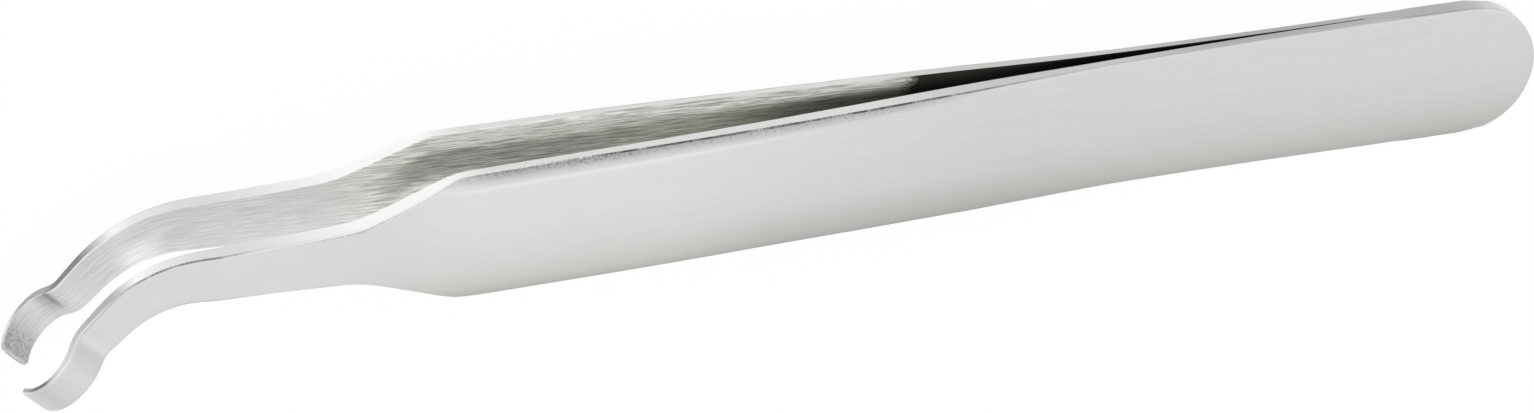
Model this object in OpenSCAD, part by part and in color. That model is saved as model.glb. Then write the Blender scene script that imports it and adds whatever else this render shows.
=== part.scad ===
// Tweezers with angled, clawed tips for round surface-mount components.
//
// Two ground stainless leaves are welded together at the tail and spring open by themselves.
// The blade lies along X with its tips towards +X. The leaves open along Z, and the necks turn
// sideways towards +Y. The origin is on the lower leaf's outer flat, at the centre of the
// rounded tail. Each leaf is one strip of steel. It is built as four stretches that meet face
// to face: the tail, the grip, the neck and the jaw. The tail ends at the line about which the
// leaf flexes when the fingers close it.

/* [Blade] */
// Length from the rounded tail to the tips
overall_length = 115; // [108:1:130]
// Width of the welded tail
tail_width = 10.3; // [8:0.1:12]
// Width at the shoulder, where the grip ends
shoulder_width = 9.6; // [8:0.1:12]
// Thickness of one leaf at the tail
tail_thickness = 0.75; // [0.65:0.05:1]
// Thickness of one leaf along the grip, in the middle of its width
grip_thickness = 1.25; // [1.05:0.05:1.6]
// Depth by which the grip's long outer edges roll over at the shoulder
edge_roll = 0.4; // [0.2:0.05:0.8]
// Clear gap between the two leaves at the necks, at rest
leaf_gap = 5.9; // [5:0.1:7]

/* [Weld and spring] */
// Length of the weld, from the end of the tail
weld_length = 14; // [12:1:18]
// Depth of the weld seam below the ground edge, and half its width there
weld_depth = 0.4; // [0.2:0.05:0.5]
// Length of the thin, flexing stretch in front of the weld
spring_length = 20; // [16:1:24]
// Thickness of one leaf along the thin stretch
spring_thickness = 0.74; // [0.5:0.02:0.9]
// Length over which the leaf thickens from the thin stretch to the grip
spring_run_out = 11; // [8:1:14]

/* [Neck] */
// Length of the flanks that narrow the blade from the shoulder to the neck
flank_length = 7; // [6:0.5:9]
// Width of the neck where the flanks end
neck_width = 4.1; // [3.6:0.1:5]
// Length from the shoulder to the sideways bend
neck_length = 18.05; // [16:0.05:22]
// Length before the bend where the two necks run parallel
parallel_lead = 4; // [2:0.5:6]
// Radius of the sideways bend, along the middle of the neck
bend_radius = 9; // [7:0.5:12]
// Angle of the sideways bend
bend_angle = 45; // [30:1:55]
// Straight length from the bend to the crease of the jaw
crease_lead = 1.8; // [1:0.1:5]

/* [Jaw] */
// Width of the strip at the crease
jaw_width = 2.6; // [2:0.1:3.2]
// Width of the strip at the end of the claw
tip_width = 2.4; // [1.8:0.1:3.2]
// Thickness of the strip at the crease
jaw_thickness = 0.7; // [0.5:0.02:0.9]
// Thickness of the strip at the end of the claw
tip_thickness = 0.4; // [0.3:0.02:0.6]
// Outer radius of the crease that turns the jaw away from the other one
crease_radius = 1.2; // [0.4:0.1:2]
// Angle of the crease
crease_angle = 43; // [35:1:48]
// Flat length between the crease and the claw
crease_flat = 0.6; // [0.2:0.1:2]
// Inner radius of the claw that holds a round component
claw_radius = 2.6; // [2:0.1:3]
// Angle through which the claw turns
claw_sweep = 115; // [105:1:125]
// Radius of the two corners at the end of the claw
tip_corner = 0.3; // [0.1:0.05:0.6]

/* [Hidden] */
$fn = 96;
steel = [0.84, 0.85, 0.84];
jaw_steel = [0.74, 0.75, 0.72];
weld_steel = [0.66, 0.67, 0.66];

tail_radius = tail_width / 2;
tail_end_x = -tail_radius;
weld_x = tail_end_x + weld_length;
flex_x = weld_x + spring_length / 2;
spring_end_x = weld_x + spring_length;
grip_x = spring_end_x + spring_run_out;

// Jaw profile, from the start of the crease: X along the strip, Y away from the other jaw
crease_centre = [0, jaw_thickness + crease_radius];
crease_end = crease_centre + (crease_radius + jaw_thickness) * [sin(crease_angle), -cos(crease_angle)];
claw_start = crease_end + crease_flat * [cos(crease_angle), sin(crease_angle)];
claw_centre = claw_start + claw_radius * [sin(crease_angle), -cos(crease_angle)];
tip_heading = crease_angle - claw_sweep;
claw_tip = claw_centre + claw_radius * [-sin(tip_heading), cos(tip_heading)];
claw_reach = claw_tip.x - tip_thickness * sin(tip_heading);

// Middle of the neck: straight, bent towards +Y, then straight to the crease
bend_end = [neck_length + bend_radius * sin(bend_angle), bend_radius * (1 - cos(bend_angle))];
crease_place = bend_end + crease_lead * [cos(bend_angle), sin(bend_angle)];
bend_arc = bend_radius * bend_angle * PI / 180;
path_length = neck_length + bend_arc + crease_lead;

// The tool ends at a rounded corner of the claws, which are turned down there and bent sideways
corner_reach = tip_corner * sqrt(pow(cos(tip_heading) * cos(bend_angle), 2) + pow(sin(bend_angle), 2));
front_length = crease_place.x + (claw_reach - tip_corner * cos(tip_heading)) * cos(bend_angle)
    + (tip_width / 2 - tip_corner) * sin(bend_angle) + corner_reach;

shoulder_x = tail_end_x + overall_length - front_length;
parallel_x = shoulder_x + neck_length - parallel_lead;
thin_x = shoulder_x + crease_place.x - jaw_width / 2 * sin(bend_angle);

// Steps of the curves: along the leaf, along the neck's outline, across the rolled edges, and
// along the jaw's two turns
leaf_step = 2;
neck_steps = 48;
roll_steps = 24;
crease_steps = 8;
claw_steps = 32;
// The higher this power, the narrower the band that rolls over
roll_power = 8;
// Half width of the envelope that rolls the edges over, a little past the blade's own
roll_reach = 0.55 * tail_width;
// How softly the blade runs into the flanks at the shoulder, and the flanks into the neck
shoulder_blend = 0.3;
flank_blend = 0.43;
// Length before the shoulder over which the blade's outline is drawn in fine steps, and the steps
shoulder_lead = 3;
shoulder_steps = 8;
// Length over which the tail thins to the spring
weld_run_out = 3;

function smooth(u) = u * u * (3 - 2 * u);

// Height of the inner face above the plane between the leaves
function inner(x) =
    x <= weld_x ? 0 :
    x >= parallel_x ? leaf_gap / 2 :
    leaf_gap / 2 * smooth((x - weld_x) / (parallel_x - weld_x));

function thickness(x) = lookup(x, [
    [weld_x, tail_thickness],
    [weld_x + weld_run_out, spring_thickness],
    [spring_end_x, spring_thickness],
    [grip_x, grip_thickness],
    [parallel_x, grip_thickness],
    [thin_x, jaw_thickness]
]);

function outer(x) = inner(x) + thickness(x);

// Half width of the blade: it tapers to the shoulder, and is joined softly there to the flanks
function blade_line(x) = lookup(x, [[weld_x, tail_radius], [shoulder_x, shoulder_width / 2]]);
function flank_line(s) = shoulder_width / 2 - s * (shoulder_width - neck_width) / 2 / flank_length;
function soft_least(a, b, blend) = (a + b - sqrt((a - b) * (a - b) + blend * blend)) / 2;
function soft_most(a, b, blend) = (a + b + sqrt((a - b) * (a - b) + blend * blend)) / 2;
function half_width(x) =
    x < shoulder_x - shoulder_lead ? blade_line(x) :
    soft_least(blade_line(x), flank_line(x - shoulder_x), shoulder_blend);

// Stations along the leaf from one end to the other, a step apart
function stations(x0, x1) = concat(
    [x0],
    [for (i = [1 : ceil((x1 - x0) / leaf_step) - 1]) x0 + i * leaf_step],
    [x1]
);

// Half width of the neck at a distance from the shoulder: the flank and the tapering neck,
// joined softly where they cross
function neck_line(s) =
    neck_width / 2 + (s - flank_length) * (jaw_width - neck_width) / 2 / (path_length - flank_length);
function neck_half_width(s) =
    s == path_length ? jaw_width / 2 :
    soft_most(half_width(shoulder_x + s), neck_line(s), s == 0 ? 0 : flank_blend);

// Heading and place on the middle of the neck at a distance from the shoulder
function heading(s) = bend_angle * max(0, min(1, (s - neck_length) / bend_arc));
function neck_place(s) =
    s <= neck_length ? [s, 0] :
    let (turn = heading(s), past = max(0, s - neck_length - bend_arc))
    [neck_length + bend_radius * sin(turn), bend_radius * (1 - cos(turn))] + past * [cos(turn), sin(turn)];
function neck_edge(s, side) =
    neck_place(s) + side * neck_half_width(s) * [-sin(heading(s)), cos(heading(s))];

module upper_leaf() {
    translate([0, 0, tail_thickness]) children();
}

module lower_leaf() {
    translate([0, 0, tail_thickness]) mirror([0, 0, 1]) children();
}

// Side view of one leaf between two stations, drawn out across its width
module leaf_section(x0, x1) {
    xs = stations(x0, x1);
    points = concat(
        [for (x = xs) [x, inner(x)]],
        [for (i = [len(xs) - 1 : -1 : 0]) [xs[i], outer(xs[i])]]
    );
    rotate([90, 0, 0])
        translate([0, 0, -tail_width])
            linear_extrude(2 * tail_width) polygon(points);
}

// Envelope that rolls the long outer edges over. It is deepest at the shoulder, and it climbs
// clear of the leaf towards the tail.
module edge_envelope() {
    slope = (outer(shoulder_x) - outer(grip_x) - edge_roll) / (shoulder_x - grip_x);
    crown = [for (i = [-roll_steps : roll_steps]) let (y = i / roll_steps * roll_reach)
        [y, -edge_roll * pow(abs(y) / (shoulder_width / 2), roll_power)]];
    depth = 2 * leaf_gap;
    translate([shoulder_x, 0, outer(shoulder_x)])
        rotate([0, -atan(slope), 0])
            translate([-overall_length, 0, 0])
                rotate([90, 0, 90])
                    linear_extrude(2 * overall_length)
                        polygon(concat(crown, [[roll_reach, -depth], [-roll_reach, -depth]]));
}

module weld_bead() {
    tip = tail_radius - weld_depth;
    section = [[tail_radius, -weld_depth], [tail_radius, weld_depth], [tip, 0]];
    rotate_extrude(angle = 180, start = 90) polygon(section);
    rotate([90, 0, 90]) linear_extrude(weld_x) {
        polygon(section);
        mirror([1, 0]) polygon(section);
    }
}

module tail() {
    difference() {
        intersection() {
            leaf_section(tail_end_x, flex_x);
            linear_extrude(overall_length) {
                circle(r = tail_radius);
                polygon([
                    [0, -tail_radius], [weld_x, -tail_radius], [flex_x, -half_width(flex_x)],
                    [flex_x, half_width(flex_x)], [weld_x, tail_radius], [0, tail_radius]
                ]);
            }
        }
        weld_bead();
    }
}

module grip() {
    xs = concat(
        [flex_x],
        [for (i = [shoulder_steps : -1 : 0]) shoulder_x - i / shoulder_steps * shoulder_lead]
    );
    intersection() {
        leaf_section(flex_x, shoulder_x);
        edge_envelope();
        linear_extrude(overall_length) polygon(concat(
            [for (x = xs) [x, -half_width(x)]],
            [for (i = [len(xs) - 1 : -1 : 0]) [xs[i], half_width(xs[i])]]
        ));
    }
}

module neck() {
    ss = [for (i = [0 : neck_steps]) i / neck_steps * path_length];
    outline = concat(
        [for (s = ss) neck_edge(s, -1)],
        [for (i = [neck_steps : -1 : 0]) neck_edge(ss[i], 1)]
    );
    intersection() {
        leaf_section(shoulder_x, shoulder_x + front_length);
        edge_envelope();
        translate([shoulder_x, 0, 0]) linear_extrude(overall_length) polygon(outline);
    }
}

// Side view of the jaw: the crease turns the strip outwards, and the claw turns it back in and
// thins it to its tip. Each turn is an arc about its centre, first along the inner face and then
// back along the outer.
module jaw_profile() {
    crease_turns = [for (i = [0 : crease_steps]) i / crease_steps * crease_angle];
    claw_turns = [for (i = [0 : claw_steps]) crease_angle - i / claw_steps * claw_sweep];
    points = concat(
        [for (turn = crease_turns) crease_centre + (crease_radius + jaw_thickness) * [sin(turn), -cos(turn)]],
        [for (turn = claw_turns) claw_centre + claw_radius * [-sin(turn), cos(turn)]],
        [for (i = [claw_steps : -1 : 0])
            let (turn = claw_turns[i], thick = jaw_thickness + (tip_thickness - jaw_thickness) * i / claw_steps)
            claw_centre + (claw_radius + thick) * [-sin(turn), cos(turn)]],
        [for (i = [crease_steps : -1 : 0]) let (turn = crease_turns[i])
            crease_centre + crease_radius * [sin(turn), -cos(turn)]]
    );
    polygon(points);
}

// What rounds one corner at the end of the claw, cut square to the strip there
module tip_corner_cut() {
    translate([claw_tip.x, 0, claw_tip.y])
        rotate([0, -tip_heading, 0])
            translate([-tip_corner, tip_width / 2 - tip_corner, -tip_thickness])
                linear_extrude(3 * tip_thickness) difference() {
                    square(2 * tip_corner);
                    circle(r = tip_corner);
                }
}

module jaw() {
    translate([shoulder_x + crease_place.x, crease_place.y, leaf_gap / 2])
        rotate([0, 0, bend_angle])
            difference() {
                intersection() {
                    rotate([90, 0, 0])
                        translate([0, 0, -jaw_width / 2])
                            linear_extrude(jaw_width) jaw_profile();
                    linear_extrude(2 * claw_reach) polygon([
                        [0, -jaw_width / 2], [claw_reach, -tip_width / 2],
                        [claw_reach, tip_width / 2], [0, jaw_width / 2]
                    ]);
                }
                tip_corner_cut();
                mirror([0, 1, 0]) tip_corner_cut();
            }
}

module upper_tail() { color(steel) upper_leaf() tail(); }
module upper_grip() { color(steel) upper_leaf() grip(); }
module upper_neck() { color(steel) upper_leaf() neck(); }
module upper_jaw() { color(jaw_steel) upper_leaf() jaw(); }
module lower_tail() { color(steel) lower_leaf() tail(); }
module lower_grip() { color(steel) lower_leaf() grip(); }
module lower_neck() { color(steel) lower_leaf() neck(); }
module lower_jaw() { color(jaw_steel) lower_leaf() jaw(); }
module tail_weld() { color(weld_steel) upper_leaf() weld_bead(); }

upper_tail();
upper_grip();
upper_neck();
upper_jaw();
lower_tail();
lower_grip();
lower_neck();
lower_jaw();
tail_weld();
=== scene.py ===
"""Stainless tweezers with clawed tips: smooth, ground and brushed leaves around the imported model."""

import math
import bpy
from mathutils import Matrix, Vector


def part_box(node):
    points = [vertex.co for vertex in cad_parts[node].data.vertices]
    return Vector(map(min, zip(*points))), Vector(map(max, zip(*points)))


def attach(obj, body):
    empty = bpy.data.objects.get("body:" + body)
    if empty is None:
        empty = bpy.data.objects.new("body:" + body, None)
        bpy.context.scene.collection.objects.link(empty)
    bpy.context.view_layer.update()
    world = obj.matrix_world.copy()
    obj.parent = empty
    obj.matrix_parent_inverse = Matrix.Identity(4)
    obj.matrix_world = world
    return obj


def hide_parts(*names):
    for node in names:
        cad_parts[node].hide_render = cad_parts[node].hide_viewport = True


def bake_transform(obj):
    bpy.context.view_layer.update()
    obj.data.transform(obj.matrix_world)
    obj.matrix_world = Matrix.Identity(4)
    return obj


bl_info = {
    "name": "Claw-tip tweezers",
    "version": (1, 0, 0),
    "blender": (4, 5, 0),
    "location": "3D Viewport > Sidebar > Tweezers",
    "description": "Builds the leaves and the weld of a pair of tweezers, on a pale stage",
    "category": "Add Mesh",
}

import bmesh
import bpy
import numpy as np
from bpy.props import FloatProperty, FloatVectorProperty, PointerProperty
from mathutils import Matrix, Vector

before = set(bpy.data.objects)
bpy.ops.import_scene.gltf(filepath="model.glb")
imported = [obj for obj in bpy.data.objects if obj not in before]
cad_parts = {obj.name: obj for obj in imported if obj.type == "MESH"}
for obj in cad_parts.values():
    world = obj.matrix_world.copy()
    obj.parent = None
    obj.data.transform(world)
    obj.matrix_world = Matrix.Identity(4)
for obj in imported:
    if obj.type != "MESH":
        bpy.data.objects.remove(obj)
MM = 0.001

TAIL_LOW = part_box("upper_tail")[0]
TAIL_RADIUS = -TAIL_LOW.x
MID_Z = TAIL_LOW.z
SHOULDER_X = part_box("upper_grip")[1].x

STRIP_MAP = "strip"
OUTER, INNER, EDGE, BREAK = range(4)


def length(name, description, default):
    """A size that the sidebar shows, with its default in millimetres."""
    return FloatProperty(
        name=name, description=description, default=default * MM, min=0.0, unit="LENGTH", precision=5
    )


def angle(name, description, default):
    """An angle that the sidebar shows, with its default in degrees."""
    return FloatProperty(name=name, description=description, default=math.radians(default), unit="ROTATION")


def strength(name, description, default, highest=2.0):
    """A plain number that the sidebar shows, from 0 to its highest."""
    return FloatProperty(name=name, description=description, default=default, min=0.0, max=highest)


def spot(name, description, default):
    """A point that the sidebar shows, with its default in metres."""
    return FloatVectorProperty(
        name=name, description=description, default=default, subtype="TRANSLATION", unit="LENGTH", precision=5
    )


def colour(name, description, default):
    """A linear colour that the sidebar shows."""
    return FloatVectorProperty(
        name=name, description=description, default=default, subtype="COLOR", size=3, min=0.0, max=1.0
    )


class TweezersBlade(bpy.types.PropertyGroup):
    """Sizes of the blade, from the tail to the shoulder"""

    tail_radius: length("Tail radius", "Radius of the rounded tail", TAIL_RADIUS / MM)
    tail_round: length("Tail round", "Radius to which the end of the tail is ground", 5.12)
    tail_cut: angle("Tail cut", "How far short of the sides the ground round stops", 18)
    tail_shift: length("Tail shift", "How far the ground end lies to the front and to the back", 0.08)
    tail_flare: length("Tail flare", "Place where the tail reaches its full width", 0.5)
    tail_thickness: length("Tail thickness", "Thickness of one leaf at the tail", 0.75)
    back_flare: length("Back flare", "How much wider the tail is on its back side", 0.07)
    spring_length: length("Spring length", "Length of the thin stretch that flexes", 20)
    spring_thickness: length("Spring thickness", "Thickness of one leaf where it flexes", 0.74)
    spring_run_out: length("Spring run-out", "Length over which the leaf thickens to the grip", 11)
    grip_thickness: length("Grip thickness", "Thickness of one leaf along the grip", 1.25)
    taper_end: length("Taper end", "Place where the blade stops narrowing", 55)
    shoulder_half_width: length("Shoulder half width", "Half width where the grip ends", 4.8)
    shoulder_blend: length("Shoulder blend", "How softly the blade runs into the flanks", 0.3)
    crown: length("Crown", "How much the outer face falls from its middle to its edges", 0.05)
    half_gap: length("Half gap", "Height of the inner face above the middle at the neck", 2.95)
    gap_dip: length("Gap dip", "How much lower the leaf lies than its even curve, where the grip begins", 0.1)
    gap_swell: length("Gap swell", "How much higher the leaf lies than its even curve, along the grip", 0.05)


class TweezersWeld(bpy.types.PropertyGroup):
    """Sizes of the weld that closes the seam round the tail"""

    span: length("Weld length", "Length of the weld from the end of the tail", 14)
    proud: length("Weld proud", "How far the weld stands out from the edges", 0.017)
    depth: length("Weld depth", "How far the weld reaches into the seam", 0.3)
    margin: length("Weld margin", "How far the weld stops short of the outer faces", 0.1)
    front_height: length("Front height", "Half height of the weld at its front end", 0.02)
    front_rise: length("Front rise", "Length over which the weld rises to its full height", 4)
    run_out: length("Weld run-out", "Length over which the tail thins to the spring", 3)


class TweezersEdges(bpy.types.PropertyGroup):
    """How the edges of the leaves are rolled over and broken"""

    upper_front_roll: length("Upper front roll", "How deep the upper leaf's front edge rolls over", 0.58)
    lower_front_roll: length("Lower front roll", "How deep the lower leaf's front edge rolls over", 0.4)
    back_roll: length("Back roll", "How deep the back edges roll over", 0.2)
    roll_width: length("Roll width", "Width of the rolled band at the shoulder", 1.0)
    roll_start: length("Roll start", "Place along the blade where the roll begins", 35)
    inner_roll: length("Inner roll", "How deep the lower leaf's inner face rolls over in front", 0.34)
    inner_width: length("Inner roll width", "Width over which that inner face rolls over", 1.0)
    rim_width: length("Rim width", "Width of the polished rim round the outer face", 0.35)
    rim_depth: length("Rim depth", "How deep the polished rim falls", 0.03)
    inner_break: length("Inner break", "Radius of the edges beside the inner face", 0.05)
    outer_break: length("Outer break", "Radius of the edges beside the outer face", 0.09)
    upper_tail_break: length("Upper tail break", "Radius of the upper leaf's outer edge round the tail", 0.15)
    lower_tail_break: length("Lower tail break", "Radius of the lower leaf's outer edge round the tail", 0.12)
    filed_break: length("Filed break", "Radius of the filed edge at the shoulder", 0.22)
    neck_break: length("Neck break", "Radius of the front outer edges along the neck", 0.12)


class TweezersNeck(bpy.types.PropertyGroup):
    """Sizes of the neck, from the shoulder to the crease"""

    flank_length: length("Flank length", "Length of the flanks that narrow the blade", 7)
    flank_blend: length("Flank blend", "How softly the flanks run into the neck", 0.43)
    neck_width: length("Neck width", "Width of the neck where the flanks end", 4.1)
    neck_length: length("Neck length", "Length from the shoulder to the sideways bend", 18.05)
    neck_thickness: length("Neck thickness", "Thickness of the neck past the flanks", 1.4)
    parallel_lead: length("Parallel lead", "Length before the bend where the necks run parallel", 4)
    thin_lead: length("Thin lead", "Length past the parallel stretch before the neck thins", 3)
    bend_radius: length("Bend radius", "Radius of the sideways bend", 9)
    bend_angle: angle("Bend angle", "Angle of the sideways bend", 45)
    bend_dip: length("Bend dip", "How much closer the necks lie in the middle of the bend", 0.12)
    crease_lead: length("Crease lead", "Straight length from the bend to the crease", 1.8)
    crease_thickness: length("Crease thickness", "Thickness where the neck meets the crease", 0.76)
    drift: length("Drift", "How far the middle of the neck strays to the back", 0.09)


class TweezersJaw(bpy.types.PropertyGroup):
    """Sizes of the jaw, from the crease to the end of the claw"""

    jaw_width: length("Jaw width", "Width of the strip at the crease", 2.75)
    tip_width: length("Tip width", "Width of the strip at the end of the claw", 2.4)
    jaw_thickness: length("Jaw thickness", "Thickness of the strip where the claw begins", 0.7)
    tip_thickness: length("Tip thickness", "Thickness of the strip at the end of the claw", 0.4)
    crease_radius: length("Crease radius", "Outer radius of the crease", 1.2)
    crease_angle: angle("Crease angle", "Angle by which the crease turns the jaw outwards", 43)
    crease_flat: length("Crease flat", "Flat length between the crease and the claw", 0.6)
    claw_radius: length("Claw radius", "Inner radius of the claw", 2.6)
    claw_sweep: angle("Claw sweep", "Angle through which the claw turns", 115)
    tip_corner: length("Tip corner", "Radius of the corners at the end of the claw", 0.3)


class TweezersFinish(bpy.types.PropertyGroup):
    """Colours of the ground steel, and the painted shade and highlights on it"""

    outer: colour("Outer face", "Satin ground outer faces", (0.645, 0.645, 0.632))
    # Painted shade: a darker copy of the outer face's colour, for beside its far edge
    outer_shade: colour("Outer shade", "Outer faces beside their far edge", (0.40, 0.405, 0.378))
    inner: colour("Inner face", "Coarsely brushed inner faces", (0.92, 0.925, 0.875))
    inner_neck: colour("Inner neck", "Inner faces of the neck and the claw", (0.87, 0.872, 0.856))
    # Painted shade for the inner faces deep between the leaves
    inner_shade: colour("Inner shade", "Inner faces deep between the leaves", (0.28, 0.29, 0.245))
    # A skin with a ragged front, painted near-black as shade in the narrow gap where the leaf flexes
    scale: colour("Heat scale", "The dark skin left inside the flexing stretch", (0.055, 0.058, 0.045))
    # A painted highlight on the edges along the flanks and in the bend
    edge: colour("Ground edge", "The brightest edges, along the flanks", (0.95, 0.95, 0.945))
    edge_plain: colour("Plain edge", "Edges along the grip and the neck", (0.72, 0.72, 0.71))
    # Painted shade on the edges of the back side
    back_edge_shade: colour("Back edge", "Edges on the back side", (0.6, 0.605, 0.59))
    edge_grey: colour("Grey edge", "Edges along the flexing stretch", (0.43, 0.435, 0.42))
    # Painted shade on the edges past the bend, deeper on the lower leaf
    upper_bent_shade: colour("Upper bent edge", "Edge of the upper leaf past its bend", (0.47, 0.47, 0.46))
    lower_bent_shade: colour("Lower bent edge", "Edge of the lower leaf past its bend", (0.25, 0.25, 0.24))
    filed: colour("Filed break", "The marks left by filing the outer edge", (0.12, 0.12, 0.115))
    weld: colour("Weld", "The weld, ground flush", (0.46, 0.465, 0.45))
    pits: colour("Pits", "Tiny pits in the weld", (0.05, 0.05, 0.05))


class TweezersStage(bpy.types.PropertyGroup):
    """Floor, light and camera"""

    floor: colour("Floor", "Colour of the floor", (0.98, 0.98, 0.98))
    floor_glow: strength("Floor glow", "How far the floor is lifted to plain white", 0.96, highest=1.0)
    floor_size: length("Floor size", "Side of the square floor", 12000)
    floor_gap: length("Floor gap", "How far the floor lies under the tail", 0.05)
    zenith: strength("Zenith", "Brightness of the light from above", 1.03)
    horizon: strength("Horizon", "Brightness of the light from the side", 0.86)
    camera_side: strength("Camera side", "How much darker the room is behind the camera", 0.25, highest=1.0)
    lamp_size: length("Lamp size", "Side of the square lamp", 500)
    lamp_power: FloatProperty(name="Lamp power", description="Power of the lamp", default=0.1, unit="POWER")
    lamp_place: spot("Lamp place", "Where the lamp hangs", (-0.14, 0, 0.6))
    aim: spot("Aim", "The point that the camera looks at", (0.055442, 0.001931, 0.002975))
    distance: length("Distance", "Distance from the camera to its aim", 460.57)
    azimuth: angle("Azimuth", "Direction of the camera around the tweezers, from the tips", -58.375)
    elevation: angle("Elevation", "Height of the camera above the blade", 54.343)
    roll: angle("Roll", "Turn of the camera about its own axis", -145.073)
    lens: FloatProperty(name="Lens", description="Focal length of the camera", default=152.54, unit="CAMERA")


class TweezersSettings(bpy.types.PropertyGroup):
    """Everything that the panel shows"""

    blade: PointerProperty(type=TweezersBlade)
    weld: PointerProperty(type=TweezersWeld)
    edges: PointerProperty(type=TweezersEdges)
    neck: PointerProperty(type=TweezersNeck)
    jaw: PointerProperty(type=TweezersJaw)
    finish: PointerProperty(type=TweezersFinish)
    stage: PointerProperty(type=TweezersStage)


def progress(value, start, end):
    """How far a value has gone from start to end, from 0 to 1."""
    return min(1.0, max(0.0, (value - start) / (end - start)))


def smooth(value, start, end):
    """The same progress, with a soft start and a soft end."""
    u = progress(value, start, end)
    return u * u * (3 - 2 * u)


def bump(value, middle, reach):
    """1 at the middle, falling smoothly to 0 at the reach on both sides."""
    return max(0.0, 1 - ((value - middle) / reach) ** 2) ** 2


def soft_least(a, b, blend):
    """The lesser of two sizes, blended where they cross."""
    return (a + b - math.sqrt((a - b) ** 2 + blend**2)) / 2


def soft_most(a, b, blend):
    """The greater of two sizes, blended where they cross."""
    return (a + b + math.sqrt((a - b) ** 2 + blend**2)) / 2


def half_way(first, second):
    """The colour half way between two others."""
    return tuple((a + b) / 2 for a, b in zip(first, second))


class Station:
    """One cross-section of a leaf: a place on its inner face, its three directions, and its sizes. The
    blade's own forms are read at x. The section draws in all round by its inset, and its flare is how much
    wider it is on its back side."""

    def __init__(self, place, sideways, outwards, along, half_width, thickness, x, inset=0.0, flare=0.0):
        self.place = np.array(place)
        self.sideways = np.array(sideways)
        self.outwards = np.array(outwards)
        self.along = along
        self.half_width = half_width
        self.thickness = thickness
        self.x = x
        self.inset = inset
        self.flare = flare


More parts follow.
